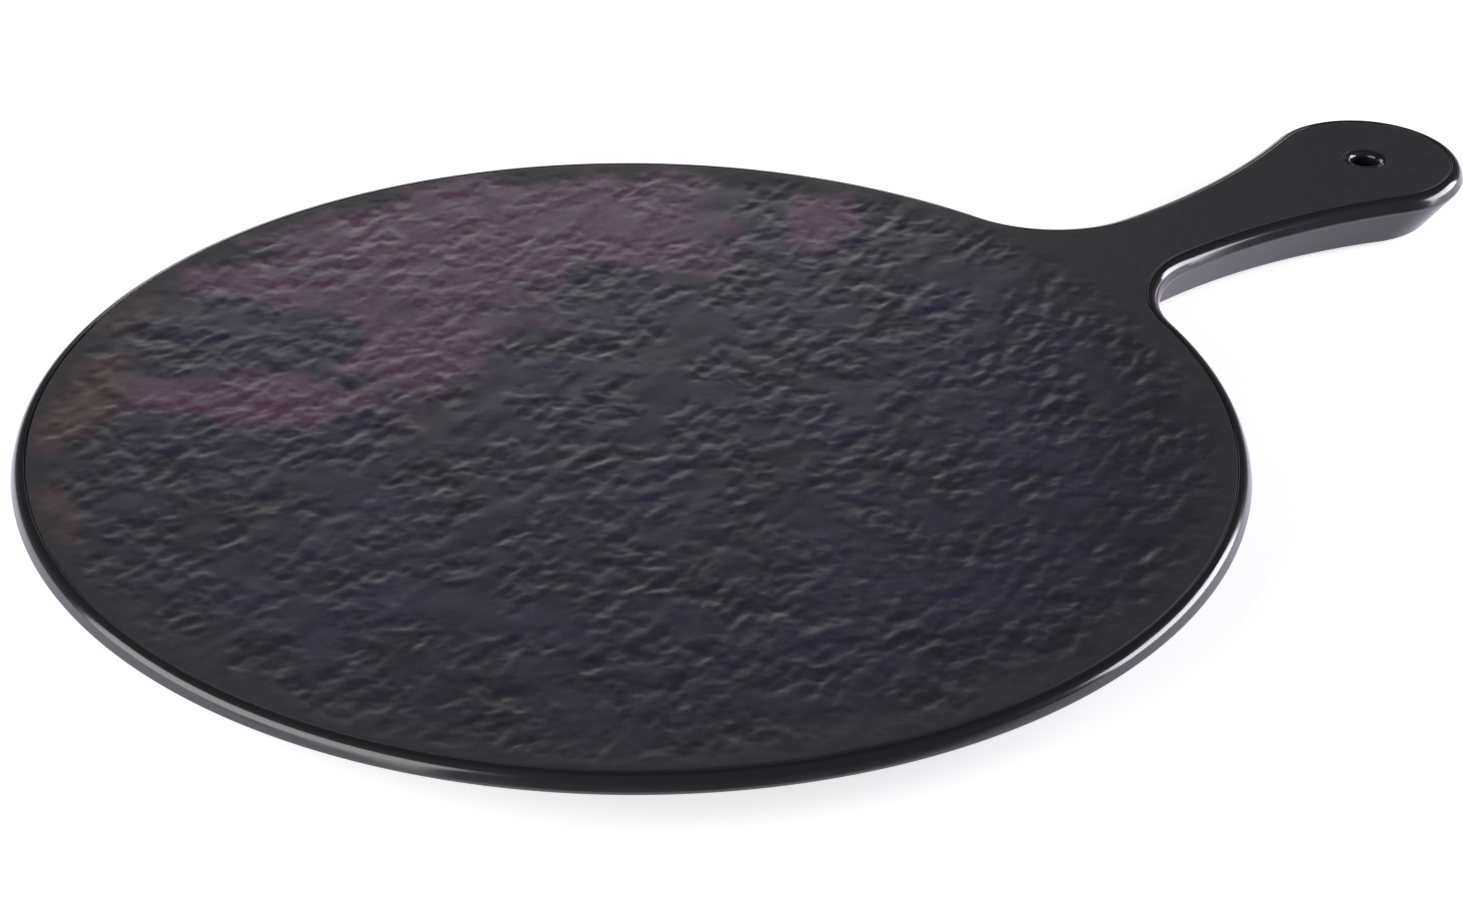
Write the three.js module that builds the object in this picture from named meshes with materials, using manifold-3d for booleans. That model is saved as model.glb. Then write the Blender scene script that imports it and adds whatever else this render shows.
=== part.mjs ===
// Round paddle platter of slate-look melamine: one black moulding with a rounded rim and a waisted handle,
// a pressed riven face layer in its top recess, and four silicone feet under its foot ring.
// Millimetres, +Z up, handle along +X, origin on the table under the middle of the overall length.

import * as THREE from 'three';
import { mergeVertices } from 'three/addons/utils/BufferGeometryUtils.js';
import Module from 'manifold-3d';

// Plan outline
const DISC_DIAMETER = 300;
const HANDLE_LENGTH = 130;
const NECK_WIDTH = 29;
const NECK_FROM_RIM = 30;
const NECK_FILLET = 31;
const BULB_WIDTH = 54.5;

// Rim section
const HEIGHT = 13.5;
const RIM_THICKNESS = 4.3;
const RIM_TOP_ROUND = 2.8;
const RIM_LOWER_ROUND = 0.8;
const RIM_DRAFT = 20;
const RIM_LIP = 0.2;

// Pressed slate face
const FACE_THICKNESS = 1.2;
const FACE_CLEARANCE = 0.3;
const RELIEF_DEPTH = 0.8;
const RELIEF_BORDER = 12;
const RELIEF_PITCH = 14;
const RELIEF_LENGTH = 21;
const RELIEF_LEDGES = 3;
const RELIEF_SLANT = 55;

// Underside: a gap to the table, a foot ring, and a hollow keel under the handle
const TABLE_GAP = 1;
const RING_FROM_RIM = 32;
const RING_WIDTH = 4;
const RING_DRAFT = 0.5;
const KEEL_SETBACK = 0.3;
const KEEL_NECK_TAPER = 3.1;
const KEEL_BULB_TAPER = 4;
const KEEL_TIP_SETBACK = 11;
const KEEL_WALL = 3;
const KEEL_ROUND = 1;
const CHANNEL_DRAFT = 0.5;

// Hanging hole
const HOLE_DIAMETER = 7.5;
const HOLE_LIP_ROUND = 1.6;
const HOLE_BOSS_WALL = 3.5;

// Silicone feet
const FOOT_DIAMETER = 12;
const FOOT_ROUND = 0.6;
const FOOT_SEAT_DEPTH = 1.2;
const FOOT_STEM_DIAMETER = 5.4;
const FOOT_STEM_LENGTH = 4;
const FOOT_CLEARANCE = 0.3;
const FOOT_BOSS_WALL = 2.4;
const FOOT_ANGLE = 45;

// Facets along each kind of arc, and the pitch of the relief's grid
const DISC_STEPS = 88;
const FILLET_STEPS = 7;
const WAIST_STEPS = 7;
const BULB_STEPS = 22;
const ROUND_STEPS = 4;
const TURN_STEPS = 24;
const RELIEF_STEP_ALONG = 6;
const RELIEF_STEP_ACROSS = 5.4;

// Pieces that are joined or cut reach this far into or past each other
const OVERLAP = 0.6;

const discRadius = DISC_DIAMETER / 2;
const halfLength = (DISC_DIAMETER + HANDLE_LENGTH) / 2;
const bulbRadius = BULB_WIDTH / 2;
const neckHalf = NECK_WIDTH / 2;
const discX = discRadius - halfLength;
const neckX = discX + discRadius + NECK_FROM_RIM;
const bulbX = halfLength - bulbRadius;
const underside = HEIGHT - RIM_THICKNESS;
const recessFloor = HEIGHT - FACE_THICKNESS;
const rimLean = THREE.MathUtils.degToRad(RIM_DRAFT);
const topRoundInset = topRoundMiddle();
const recessInset = topRoundInset + RIM_LIP;
const faceInset = recessInset + FACE_CLEARANCE;
const ringOuter = discRadius - RING_FROM_RIM;
const ringInner = ringOuter - RING_WIDTH;
const ringMiddle = (ringOuter + ringInner) / 2;
const holeRadius = HOLE_DIAMETER / 2;
const collarRadius = holeRadius + HOLE_LIP_ROUND + RIM_LIP;
const seatTop = TABLE_GAP + FOOT_SEAT_DEPTH;

const wasm = await Module();
wasm.setup();

// Booleans

function solid(geometry) {
  const bare = geometry.clone();
  bare.deleteAttribute('normal');
  bare.deleteAttribute('uv');
  const merged = mergeVertices(bare);
  return new wasm.Manifold(new wasm.Mesh({
    numProp: 3,
    vertProperties: new Float32Array(merged.attributes.position.array),
    triVerts: new Uint32Array(merged.index.array),
  }));
}

function geometryOf(body) {
  const mesh = body.getMesh();
  const geometry = new THREE.BufferGeometry();
  geometry.setAttribute('position', new THREE.BufferAttribute(mesh.vertProperties, 3));
  geometry.setIndex(new THREE.BufferAttribute(mesh.triVerts, 1));
  geometry.computeVertexNormals();
  return geometry;
}

// Plan outlines, each a closed ring of points, counter-clockwise from above

function arc(centre, radius, from, to, steps, clockwise) {
  const curve = new THREE.EllipseCurve(centre.x, centre.y, radius, radius, from, to, clockwise);
  return curve.getPoints(steps);
}

function bearing(from, to) {
  return Math.atan2(to.y - from.y, to.x - from.x);
}

// Where two circles meet, on the right-hand side seen from the first centre to the second
function circlesMeet(first, firstRadius, second, secondRadius) {
  const span = first.distanceTo(second);
  const along = (firstRadius ** 2 - secondRadius ** 2 + span ** 2) / (2 * span);
  const aside = Math.sqrt(firstRadius ** 2 - along ** 2);
  const forward = second.clone().sub(first).divideScalar(span);
  const right = new THREE.Vector2(forward.y, -forward.x);
  return first.clone().addScaledVector(forward, along).addScaledVector(right, aside);
}

function joinMirrored(half, across) {
  const mirrored = half.map((p) => new THREE.Vector2(p.x, -p.y)).reverse();
  const ring = [...half, ...across, ...mirrored];
  return ring.filter((p, i) => p.distanceTo(ring[(i + 1) % ring.length]) > 1e-6);
}

// The handle's side: a concave waist arc, narrowest at the neck and tangent to the round end
function handleSide(neck, bulb, tipX) {
  const bulbCentre = new THREE.Vector2(tipX - bulb, 0);
  const waistRadius = ((bulbCentre.x - neckX) ** 2 / (bulb - neck) - bulb - neck) / 2;
  const waistCentre = new THREE.Vector2(neckX, neck + waistRadius);
  return { bulbCentre, waistRadius, waistCentre, leaves: bearing(bulbCentre, waistCentre) };
}

// The whole paddle, from the handle's tip over the left side to the disc and back, drawn in by inset
function paddleOutline(inset) {
  const side = handleSide(neckHalf, bulbRadius, halfLength);
  const discCentre = new THREE.Vector2(discX, 0);
  const filletCentre = circlesMeet(
    discCentre, discRadius + NECK_FILLET, side.waistCentre, side.waistRadius - NECK_FILLET);
  const toFillet = bearing(side.waistCentre, filletCentre);
  const toDisc = bearing(discCentre, filletCentre);
  const half = [
    ...arc(side.bulbCentre, bulbRadius - inset, 0, side.leaves, BULB_STEPS / 2, false),
    ...arc(side.waistCentre, side.waistRadius + inset, side.leaves + Math.PI, toFillet, WAIST_STEPS, true),
    ...arc(filletCentre, NECK_FILLET + inset, toFillet, toDisc + Math.PI, FILLET_STEPS, true),
  ];
  const disc = arc(discCentre, discRadius - inset, toDisc, -toDisc, DISC_STEPS, false);
  return joinMirrored(half, disc);
}

// The handle alone, ending on the foot ring's middle circle, with its own neck, round end and tip
function handleOutline(neck, bulb, tipX) {
  const side = handleSide(neck, bulb, tipX);
  const discCentre = new THREE.Vector2(discX, 0);
  const start = circlesMeet(discCentre, ringMiddle, side.waistCentre, side.waistRadius);
  const toStart = bearing(discCentre, start);
  const half = [
    ...arc(side.bulbCentre, bulb, 0, side.leaves, BULB_STEPS / 2, false),
    ...arc(side.waistCentre, side.waistRadius, side.leaves + Math.PI, bearing(side.waistCentre, start),
      2 * WAIST_STEPS, true),
  ];
  return joinMirrored(half, arc(discCentre, ringMiddle, toStart, -toStart, WAIST_STEPS, true));
}

// A closed skin through rings of equal length, listed from the top cap down to the bottom cap
function loft(rings) {
  const count = rings[0].outline.length;
  const positions = rings.flatMap(({ outline, z }) => outline.flatMap((p) => [p.x, p.y, z]));
  const indices = [];
  for (let k = 0; k + 1 < rings.length; k++) {
    for (let i = 0; i < count; i++) {
      const next = (i + 1) % count;
      const a = k * count + i;
      const b = k * count + next;
      indices.push(a, a + count, b + count, a, b + count, b);
    }
  }
  const last = (rings.length - 1) * count;
  for (const [a, b, c] of THREE.ShapeUtils.triangulateShape(rings[0].outline, [])) {
    indices.push(a, b, c);
  }
  for (const [a, b, c] of THREE.ShapeUtils.triangulateShape(rings.at(-1).outline, [])) {
    indices.push(last + a, last + c, last + b);
  }
  const geometry = new THREE.BufferGeometry();
  geometry.setAttribute('position', new THREE.Float32BufferAttribute(positions, 3));
  geometry.setIndex(indices);
  return geometry;
}

// A revolved piece about a vertical axis, its profile given as [radius, height] from the bottom up
function turned(profile, steps) {
  const points = profile.map(([radius, height]) => new THREE.Vector2(radius, height));
  return new THREE.LatheGeometry(points, steps).rotateX(Math.PI / 2);
}

// Part of a circle as [across, up] shares of its radius, from one angle above the horizontal to another
function roundShares(from, to) {
  return Array.from({ length: ROUND_STEPS + 1 }, (_, i) => {
    const angle = THREE.MathUtils.lerp(from, to, i / ROUND_STEPS);
    return [Math.cos(angle), Math.sin(angle)];
  });
}

function quarterRound() {
  return roundShares(0, Math.PI / 2);
}

// Melamine board

// From the rim's outermost line to the middle of its top round; the wall between its rounds leans in
function topRoundMiddle() {
  const across = Math.cos(rimLean);
  const up = Math.sin(rimLean);
  const wall = RIM_THICKNESS - RIM_TOP_ROUND * (1 - up) - RIM_LOWER_ROUND * (1 + up);
  return RIM_LOWER_ROUND * (1 - across) + wall * Math.tan(rimLean) + RIM_TOP_ROUND * across;
}

function slab() {
  const rings = [
    { outline: paddleOutline(recessInset), z: recessFloor },
    { outline: paddleOutline(recessInset), z: HEIGHT },
  ];
  for (const [across, up] of roundShares(Math.PI / 2, rimLean)) {
    rings.push({
      outline: paddleOutline(topRoundInset - RIM_TOP_ROUND * across),
      z: HEIGHT - RIM_TOP_ROUND * (1 - up),
    });
  }
  const wallFoot = [Math.cos(rimLean), Math.sin(rimLean)];
  for (const [across, up] of [wallFoot, ...roundShares(0, -Math.PI / 2)]) {
    rings.push({
      outline: paddleOutline(RIM_LOWER_ROUND * (1 - across)),
      z: underside + RIM_LOWER_ROUND * (1 + up),
    });
  }
  return solid(loft(rings));
}

function footRing() {
  return solid(turned([
    [ringInner, TABLE_GAP],
    [ringOuter, TABLE_GAP],
    [ringOuter + RING_DRAFT, underside + OVERLAP],
    [ringInner - RING_DRAFT, underside + OVERLAP],
    [ringInner, TABLE_GAP],
  ], DISC_STEPS)).translate([discX, 0, 0]);
}

// The flank leans in from the rim's lower edge to the keel's bottom, more so round the handle's end
function keelOutline(share, inset) {
  const drawnIn = (taper) => THREE.MathUtils.lerp(KEEL_SETBACK, taper, share) + inset;
  return handleOutline(
    neckHalf - drawnIn(KEEL_NECK_TAPER),
    bulbRadius - drawnIn(KEEL_BULB_TAPER),
    halfLength - drawnIn(KEEL_TIP_SETBACK));
}

function keel() {
  const rings = [
    { outline: keelOutline(0, 0), z: underside + OVERLAP },
    { outline: keelOutline(0, 0), z: underside },
  ];
  for (const [across, up] of quarterRound()) {
    const z = TABLE_GAP + KEEL_ROUND * (1 - up);
    const share = (underside - z) / (underside - TABLE_GAP);
    rings.push({ outline: keelOutline(share, KEEL_ROUND * (1 - across)), z });
  }
  return solid(loft(rings));
}

function keelChannel() {
  return solid(loft([
    { outline: keelOutline(1, KEEL_WALL + CHANNEL_DRAFT), z: underside },
    { outline: keelOutline(1, KEEL_WALL), z: TABLE_GAP - OVERLAP },
  ]));
}

function holeBoss() {
  const radius = holeRadius + HOLE_BOSS_WALL;
  return solid(turned([
    [0, TABLE_GAP],
    [radius, TABLE_GAP],
    [radius + CHANNEL_DRAFT, underside + OVERLAP],
    [0, underside + OVERLAP],
  ], TURN_STEPS)).translate([bulbX, 0, 0]);
}

function holeCollar() {
  return solid(turned([
    [0, recessFloor - OVERLAP],
    [collarRadius, recessFloor - OVERLAP],
    [collarRadius, HEIGHT],
    [0, HEIGHT],
  ], TURN_STEPS)).translate([bulbX, 0, 0]);
}

// The hanging hole with a rounded lip above and below
function hangingHole() {
  const flare = quarterRound().map(([across, up]) => [
    holeRadius + HOLE_LIP_ROUND * (1 - across), HOLE_LIP_ROUND * (up - 1)]);
  const mouth = flare.at(-1)[0];
  return solid(turned([
    [0, TABLE_GAP - OVERLAP],
    [mouth, TABLE_GAP - OVERLAP],
    ...flare.map(([radius, drop]) => [radius, TABLE_GAP - drop]).reverse(),
    ...flare.map(([radius, drop]) => [radius, HEIGHT + drop]),
    [mouth, HEIGHT + OVERLAP],
    [0, HEIGHT + OVERLAP],
  ], TURN_STEPS)).translate([bulbX, 0, 0]);
}

function footBoss() {
  const radius = FOOT_DIAMETER / 2 + FOOT_CLEARANCE + FOOT_BOSS_WALL;
  return turned([
    [0, TABLE_GAP],
    [radius, TABLE_GAP],
    [radius + RING_DRAFT, underside + OVERLAP],
    [0, underside + OVERLAP],
  ], TURN_STEPS);
}

function footSocket() {
  const headRadius = FOOT_DIAMETER / 2 + FOOT_CLEARANCE;
  const stemRadius = FOOT_STEM_DIAMETER / 2 + FOOT_CLEARANCE;
  const stemEnd = seatTop + FOOT_STEM_LENGTH + FOOT_CLEARANCE;
  return turned([
    [0, TABLE_GAP - OVERLAP],
    [headRadius, TABLE_GAP - OVERLAP],
    [headRadius, seatTop],
    [stemRadius, seatTop],
    [stemRadius, stemEnd],
    [0, stemEnd],
  ], TURN_STEPS);
}

const footPlaces = {
  foot_handle_left: FOOT_ANGLE,
  foot_handle_right: -FOOT_ANGLE,
  foot_rim_left: 180 - FOOT_ANGLE,
  foot_rim_right: FOOT_ANGLE - 180,
};

function footPoint(degrees) {
  const angle = THREE.MathUtils.degToRad(degrees);
  return [discX + ringMiddle * Math.cos(angle), ringMiddle * Math.sin(angle), 0];
}

function melamineBoard() {
  let body = slab().add(footRing());
  body = body.add(keel().subtract(keelChannel())).add(holeBoss()).add(holeCollar());
  for (const degrees of Object.values(footPlaces)) {
    body = body.add(solid(footBoss()).translate(footPoint(degrees)));
  }
  for (const degrees of Object.values(footPlaces)) {
    body = body.subtract(solid(footSocket()).translate(footPoint(degrees)));
  }
  return geometryOf(body.subtract(hangingHole()));
}

// Slate face

// A random height between 0 and 1 for each lattice point, and a smooth surface through them
function latticeHeight(i, j) {
  const wave = Math.sin(127.1 * i + 311.7 * j) * 43758.5453;
  return wave - Math.floor(wave);
}

function smoothHeight(u, v) {
  const { lerp, smoothstep } = THREE.MathUtils;
  const i = Math.floor(u);
  const j = Math.floor(v);
  const across = smoothstep(u - i, 0, 1);
  const near = lerp(latticeHeight(i, j), latticeHeight(i + 1, j), across);
  const far = lerp(latticeHeight(i, j + 1), latticeHeight(i + 1, j + 1), across);
  return lerp(near, far, smoothstep(v - j, 0, 1));
}

// How deep the riven ledges lie at a point, from 0 at the smooth border to 1
function rivenDepth(x, y) {
  const place = new THREE.Vector2(x - discX, y);
  const toRim = discRadius - faceInset - place.length();
  const grain = place.rotateAround(new THREE.Vector2(), -THREE.MathUtils.degToRad(RELIEF_SLANT));
  const u = grain.x / RELIEF_LENGTH;
  const v = grain.y / RELIEF_PITCH;
  const mixed = 0.7 * smoothHeight(u, v) + 0.3 * smoothHeight(2 * u, 2 * v);
  const ledges = RELIEF_LEDGES * THREE.MathUtils.smoothstep(mixed, 0.2, 0.8);
  const ledge = Math.floor(ledges);
  const stepped = (ledge + THREE.MathUtils.smoothstep(ledges - ledge, 0.3, 0.7)) / RELIEF_LEDGES;
  return stepped * THREE.MathUtils.smoothstep(toRim, 0, RELIEF_BORDER);
}

// Evenly spaced grid lines from one end to the other
function gridLines(from, to, pitch) {
  const count = Math.ceil((to - from) / pitch);
  return Array.from({ length: count + 1 }, (_, i) => from + ((to - from) * i) / count);
}

// A block whose top is the riven surface, wider and longer than the face, with plain sides and bottom
function rivenBlock() {
  const xs = gridLines(-halfLength, halfLength, RELIEF_STEP_ALONG);
  const ys = gridLines(-discRadius, discRadius, RELIEF_STEP_ACROSS);
  const at = (i, j) => i * ys.length + j;
  const positions = xs.flatMap((x) => ys.flatMap((y) => [x, y, HEIGHT - RELIEF_DEPTH * rivenDepth(x, y)]));
  const indices = [];
  for (let i = 0; i + 1 < xs.length; i++) {
    for (let j = 0; j + 1 < ys.length; j++) {
      indices.push(at(i, j), at(i + 1, j), at(i + 1, j + 1), at(i, j), at(i + 1, j + 1), at(i, j + 1));
    }
  }
  const lastX = xs.length - 1;
  const lastY = ys.length - 1;
  const edge = [
    ...xs.slice(0, -1).map((_, i) => at(i, 0)),
    ...ys.slice(0, -1).map((_, j) => at(lastX, j)),
    ...xs.slice(0, -1).map((_, i) => at(lastX - i, lastY)),
    ...ys.slice(0, -1).map((_, j) => at(0, lastY - j)),
  ];
  const bottom = positions.length / 3;
  for (const k of edge) {
    positions.push(positions[3 * k], positions[3 * k + 1], recessFloor - OVERLAP);
  }
  const middle = positions.length / 3;
  positions.push(0, 0, recessFloor - OVERLAP);
  edge.forEach((top, k) => {
    const next = (k + 1) % edge.length;
    indices.push(top, bottom + k, bottom + next, top, bottom + next, edge[next]);
    indices.push(middle, bottom + next, bottom + k);
  });
  const geometry = new THREE.BufferGeometry();
  geometry.setAttribute('position', new THREE.Float32BufferAttribute(positions, 3));
  geometry.setIndex(indices);
  return solid(geometry);
}

function slateFace() {
  const sheet = solid(loft([
    { outline: paddleOutline(faceInset), z: HEIGHT + OVERLAP },
    { outline: paddleOutline(faceInset), z: recessFloor },
  ]));
  const eye = solid(turned([
    [0, recessFloor - OVERLAP],
    [collarRadius + FACE_CLEARANCE, recessFloor - OVERLAP],
    [collarRadius + FACE_CLEARANCE, HEIGHT + 2 * OVERLAP],
    [0, HEIGHT + 2 * OVERLAP],
  ], TURN_STEPS)).translate([bulbX, 0, 0]);
  return geometryOf(rivenBlock().intersect(sheet).subtract(eye));
}

// Silicone foot: a flat head standing proud of its counterbore, and a stem

function foot() {
  const headRadius = FOOT_DIAMETER / 2;
  const stemRadius = FOOT_STEM_DIAMETER / 2;
  const stemEnd = seatTop + FOOT_STEM_LENGTH;
  const edge = quarterRound().reverse().map(([across, up]) => [
    headRadius - FOOT_ROUND * (1 - across), FOOT_ROUND * (1 - up)]);
  return turned([
    [0, 0],
    ...edge,
    [headRadius, seatTop],
    [stemRadius, seatTop],
    [stemRadius, stemEnd - FOOT_ROUND],
    [stemRadius - FOOT_ROUND, stemEnd],
    [0, stemEnd],
  ], TURN_STEPS);
}

// Assembly

const blackMelamine = new THREE.MeshStandardMaterial({ color: 0x1b1a1d, roughness: 0.18, metalness: 0 });
const slateLook = new THREE.MeshStandardMaterial({ color: 0x3c3b42, roughness: 0.5, metalness: 0 });
const silicone = new THREE.MeshStandardMaterial({ color: 0x2a2a2c, roughness: 0.7, metalness: 0 });

function piece(name, geometry, material) {
  const mesh = new THREE.Mesh(geometry, material.clone());
  mesh.name = name;
  return mesh;
}

const platter = new THREE.Group();
platter.add(piece('melamine_board', melamineBoard(), blackMelamine));
platter.add(piece('slate_face', slateFace(), slateLook));
for (const [name, degrees] of Object.entries(footPlaces)) {
  const mesh = piece(name, foot(), silicone);
  mesh.position.set(...footPoint(degrees));
  platter.add(mesh);
}

export default platter;
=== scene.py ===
"""Finished looks of a round slate-look platter with a paddle handle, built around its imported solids.

The platter is compression-moulded melamine: a glossy black board with a rounded rim, a slate-look face
pressed into its top, and four silicone feet. Lengths are in metres, +Z up, handle along +X.
"""

import math

import bmesh
import bpy
import numpy as np
from bpy.props import FloatProperty, FloatVectorProperty, IntProperty, PointerProperty
from mathutils import Matrix, Vector
from mathutils.geometry import delaunay_2d_cdt


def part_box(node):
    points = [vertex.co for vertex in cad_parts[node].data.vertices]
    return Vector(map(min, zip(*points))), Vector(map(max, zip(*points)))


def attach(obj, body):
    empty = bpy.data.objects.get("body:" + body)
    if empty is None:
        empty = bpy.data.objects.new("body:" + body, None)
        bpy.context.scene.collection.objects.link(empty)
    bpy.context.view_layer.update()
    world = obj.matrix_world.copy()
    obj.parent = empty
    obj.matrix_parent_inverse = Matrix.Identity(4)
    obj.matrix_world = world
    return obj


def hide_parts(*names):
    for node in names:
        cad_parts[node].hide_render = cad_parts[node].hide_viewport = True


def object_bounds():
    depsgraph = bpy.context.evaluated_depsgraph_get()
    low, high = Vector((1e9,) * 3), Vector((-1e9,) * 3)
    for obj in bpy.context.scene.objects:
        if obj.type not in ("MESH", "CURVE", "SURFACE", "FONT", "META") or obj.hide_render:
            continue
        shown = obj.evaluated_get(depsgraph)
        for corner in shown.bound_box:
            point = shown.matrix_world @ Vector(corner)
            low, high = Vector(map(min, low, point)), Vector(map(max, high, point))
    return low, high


bl_info = {
    "name": "Slate-look Paddle Platter",
    "version": (1, 0, 0),
    "blender": (4, 5, 0),
    "location": "3D View > Sidebar > Platter",
    "description": "Makes a slate-look melamine platter with a paddle handle, and a plain studio round it",
    "category": "Object",
}

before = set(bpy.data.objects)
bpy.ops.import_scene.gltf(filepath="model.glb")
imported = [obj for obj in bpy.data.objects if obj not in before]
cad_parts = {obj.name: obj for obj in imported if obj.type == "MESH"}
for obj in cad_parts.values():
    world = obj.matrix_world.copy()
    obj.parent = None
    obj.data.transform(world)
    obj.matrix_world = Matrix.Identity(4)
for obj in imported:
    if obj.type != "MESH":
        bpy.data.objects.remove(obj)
CAD_LOW, CAD_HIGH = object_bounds()
CAD_SIZE = CAD_HIGH - CAD_LOW

MM = 0.001
FOOT_NODES = ("foot_handle_left", "foot_handle_right", "foot_rim_left", "foot_rim_right")

# Fineness of the meshes: point spacing along outlines and over the face, and steps round arcs and turns
OUTLINE_SPACING = 1.0 * MM
FACE_SPACING = 1.0 * MM
ROUND_STEPS = 8
TURN_STEPS = 96
RING_STEPS = 480
KEEL_BULB_STEPS = 48
KEEL_WAIST_STEPS = 90
KEEL_END_STEPS = 24

# Solids that are joined or cut reach this far into or past each other, doubles closer than this merge, and
# bends over this angle show as edges
OVERLAP = 0.6 * MM
MERGE = 0.0005 * MM
SHARP_ANGLE = math.radians(32)

# Relief, as shares of its depth: the rolling ground, and how far the mean level lies below the rim
ROLLING_SHARE = 0.3
MEAN_SHARE = 0.2

# Relief: sizes of the grain's bends and of the chipped places, and how many chips go to a ledge's length
BEND_SIZE = 24 * MM
SPLIT_SIZE = 15 * MM
CHIPS_PER_LEDGE = 2.3

# Ranges: where noise mostly lies, the part of a level that a ledge's edge takes, and where chipping sets in
NOISE_RANGE = (0.25, 0.75)
LEDGE_EDGE = (0.35, 0.65)
SPLIT_RANGE = (0.36, 0.52)

# Plain border of the slate face: widths from the rim over which it sets in, on the ground and on the patches,
# where it is complete, its strength, how far its edge wanders, and the roughness it adds
BORDER_WIDTHS = (34 * MM, 14 * MM)
BORDER_END = 4 * MM
BORDER_STRENGTH = 0.8
BORDER_WANDER = 15 * MM
BORDER_ROUGHNESS = 0.2

# Patches of blue, purple and rust-brown slate: millimetres from the disc's middle along and across the handle,
# half length, half width, and turn in degrees. Each fades over PATCH_EDGE, in shares of its half sizes, and
# its edge wanders by up to PATCH_WANDER of them.
PATCH_EDGE = (1.3, 0.65)
PATCH_WANDER = 1.4
BLUE_PATCHES = ((-43, 95, 30, 22, -45),)
MAUVE_PATCHES = (
    (33, 106, 68, 42, -8), (-62, 67, 38, 12, -40), (-19, 64, 34, 18, 34), (-31, 120, 24, 11, -50),
    (107, 62, 24, 10, 45), (121, 72, 13, 7, 45))
RUSSET_PATCHES = ((-98, 101, 26, 14, 45), (-135, 50, 13, 8, 60), (-65, 129, 18, 8, 35))

# Softboxes: name, azimuth and elevation in degrees, distance, width, height, radiance and colour
SOFTBOXES = (
    ("back_softbox", 150.5, 12.5, 1.1, 0.62, 0.35, 1.65, "#ffffff"),
    ("left_softbox", 258, 20, 1.0, 1.3, 0.6, 3.8, "#ffffff"),
    ("right_softbox", 66, 15, 1.0, 0.8, 0.42, 10, "#f8f6ff"),
)

# Room: elevations over which the backdrop gives way to it, and how far ahead of the camera its front ends
BACKDROP_EDGE = (math.radians(8), math.radians(22))
FRONT_EDGE = (0.3, -0.2)


def linear(code):
    """Linear colour of an sRGB hex value."""
    shares = [int(code[i:i + 2], 16) / 255 for i in (1, 3, 5)]
    return [s / 12.92 if s <= 0.04045 else ((s + 0.055) / 1.055) ** 2.4 for s in shares]


def length(name, description, value):
    return FloatProperty(name=name, description=description, default=value, min=0, unit="LENGTH")


def colour(name, description, code):
    return FloatVectorProperty(
        name=name, description=description, default=linear(code), min=0, max=1, subtype="COLOR")


class PlatterPlan(bpy.types.PropertyGroup):
    """Sizes of the paddle outline, seen from above."""

    disc_diameter: length("Disc diameter", "Across the round disc", CAD_SIZE.y)
    handle_length: length("Handle length", "From the disc's rim to the handle's tip", CAD_SIZE.x - CAD_SIZE.y)
    neck_width: length("Neck width", "Across the handle at its narrowest", 29 * MM)
    neck_from_rim: length("Neck from rim", "From the disc's rim to the narrowest place", 30 * MM)
    neck_fillet: length("Neck fillet", "Radius between the disc and the handle", 31 * MM)
    bulb_width: length("End width", "Across the handle's round end", 54.5 * MM)


class PlatterSection(bpy.types.PropertyGroup):
    """Sizes of the board's section: its rim, its recess and its underside."""

    height: length("Height", "From the table to the top of the rim", CAD_SIZE.z)
    rim_thickness: length("Rim thickness", "From the underside to the top", 4.3 * MM)
    rim_top_round: length("Rim top round", "Radius of the rim's upper edge", 2.8 * MM)
    rim_lower_round: length("Rim lower round", "Radius of the rim's lower edge", 0.8 * MM)
    rim_draft: FloatProperty(
        name="Rim draft", description="Lean of the rim's wall", default=math.radians(20), subtype="ANGLE")
    rim_lip: length("Rim lip", "Flat lip between the rim's round and the recess", 0.2 * MM)
    recess_depth: length("Recess depth", "Depth of the recess that holds the slate face", 1.2 * MM)
    face_clearance: length("Face clearance", "Groove between the lip and the slate face", 0.3 * MM)
    groove_round: length("Groove round", "Radius of the two edges of that groove", 0.15 * MM)
    table_gap: length("Table gap", "Clearance under the foot ring", 1 * MM)
    ring_from_rim: length("Ring from rim", "From the disc's rim to the foot ring", 32 * MM)
    ring_width: length("Ring width", "Width of the foot ring's sole", 4 * MM)
    flank_draft: length("Flank draft", "How far standing walls lean over their height", 0.5 * MM)
    edge_round: length("Edge round", "Radius of the lower edges of standing walls", 0.8 * MM)
    root_fillet: length("Root fillet", "Radius where standing walls meet the underside", 1 * MM)
    keel_setback: length("Keel setback", "From the rim's side to the top of the keel", 0.3 * MM)
    keel_neck_taper: length("Keel neck taper", "How far the keel is drawn in at the neck", 3.1 * MM)
    keel_bulb_taper: length("Keel end taper", "How far the keel is drawn in round the end", 4 * MM)
    keel_tip_setback: length("Keel tip setback", "How far the keel's tip is drawn in", 11 * MM)
    keel_wall: length("Keel wall", "Wall of the hollow keel", 3 * MM)
    hole_diameter: length("Hole diameter", "Bore of the hanging hole", 7.5 * MM)
    hole_lip_round: length("Hole lip round", "Radius of the hole's two lips", 1.6 * MM)
    hole_boss_wall: length("Hole boss wall", "Wall round the hole under the handle", 3.5 * MM)
    foot_diameter: length("Foot diameter", "Across a foot's head", 12 * MM)
    foot_round: length("Foot round", "Radius of a foot's lower edge", 0.6 * MM)
    foot_seat_depth: length("Foot seat depth", "Depth of the counterbore for a foot's head", 1.2 * MM)
    foot_stem_diameter: length("Foot stem diameter", "Across a foot's stem", 5.4 * MM)
    foot_stem_length: length("Foot stem length", "From a foot's seat to its stem's end", 4 * MM)
    foot_clearance: length("Foot clearance", "Gap between a foot and its socket", 0.3 * MM)
    foot_boss_wall: length("Foot boss wall", "Wall round a foot's counterbore", 2.4 * MM)


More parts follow.
